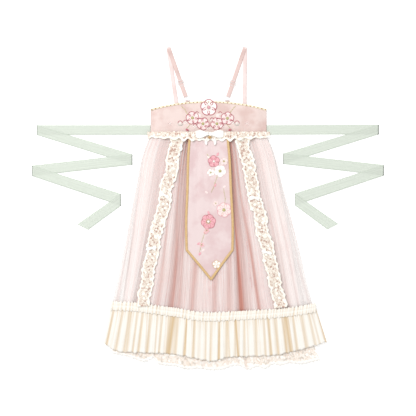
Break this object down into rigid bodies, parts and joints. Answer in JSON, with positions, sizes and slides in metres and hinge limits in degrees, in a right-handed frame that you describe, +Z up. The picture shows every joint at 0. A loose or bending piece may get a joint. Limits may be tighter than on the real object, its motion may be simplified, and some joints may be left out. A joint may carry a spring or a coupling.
{
  "type": "girl's hanfu strap dress",
  "caption": "Girl's chest-high hanfu dress on shoulder straps, lying flat: band bodice, gathered tulle skirt with hanging panel, lace strips and hem ruffle, and ribbon ties.",
  "frame": {"origin": "on the surface the dress lies on, under the middle of its outline with its ties laid out", "axes": "+X across the dress, to the right of a viewer who looks down on its front; +Y from the hem to the neck; +Z up off the surface"},
  "size_m": [0.908, 0.832, 0.0216],
  "materials": {
    "tulle": "sheer gathered tulle",
    "print": "soft tie-dyed voile",
    "satin": "satin with embroidery",
    "cream": "pleated voile",
    "lace": "gathered lace",
    "gold": "braid and bias edging",
    "white": "satin ribbon",
    "blossom": "embroidered applique",
    "strap": "elastic webbing",
    "plastic": "clear moulded plastic",
    "ribbon": "sheer mint ribbon",
    "bead": "glass bead"
  },
  "bodies": {
    "root": {"tulle_skirt_back": "tulle", "tulle_skirt_front": "tulle", "printed_skirt_back": "print", "printed_skirt_front": "print", "front_panel": "print", "bodice_back": "satin", "bodice_front": "satin", "hem_ruffle_back": "cream", "hem_ruffle_front": "cream", "hem_heading": "cream", "lace_flounce_back": "lace", "lace_flounce_front": "lace", "lace_strip_left": "lace", "lace_strip_right": "lace", "waist_ruffle": "lace", "bodice_trim": "gold", "panel_edging_left": "gold", "panel_edging_right": "gold", "bow_loop_left": "white", "bow_loop_right": "white", "bow_drop_left": "white", "bow_drop_right": "white", "lace_bow_left_upper": "white", "lace_bow_left_lower": "white", "lace_bow_right_upper": "white", "lace_bow_right_lower": "white", "bodice_blossom_middle": "blossom", "bodice_blossom_1": "blossom", "bodice_blossom_2": "blossom", "bodice_blossom_3": "blossom", "bodice_blossom_4": "blossom", "panel_blossom_1": "blossom", "panel_blossom_2": "blossom", "panel_blossom_3": "blossom", "panel_blossom_4": "blossom", "bow_knot": "bead", "strap_back_left": "strap", "strap_front_left": "strap", "strap_tab_left": "strap", "strap_slider_left": "plastic", "strap_ring_left": "plastic", "tie_left_1": "ribbon", "tie_left_2": "ribbon", "tie_left_3": "ribbon", "tie_left_4": "ribbon", "tie_left_5": "ribbon", "strap_back_right": "strap", "strap_front_right": "strap", "strap_tab_right": "strap", "strap_slider_right": "plastic", "strap_ring_right": "plastic", "tie_right_1": "ribbon", "tie_right_2": "ribbon", "tie_right_3": "ribbon", "tie_right_4": "ribbon", "tie_right_5": "ribbon"}
  },
  "joints": []
}
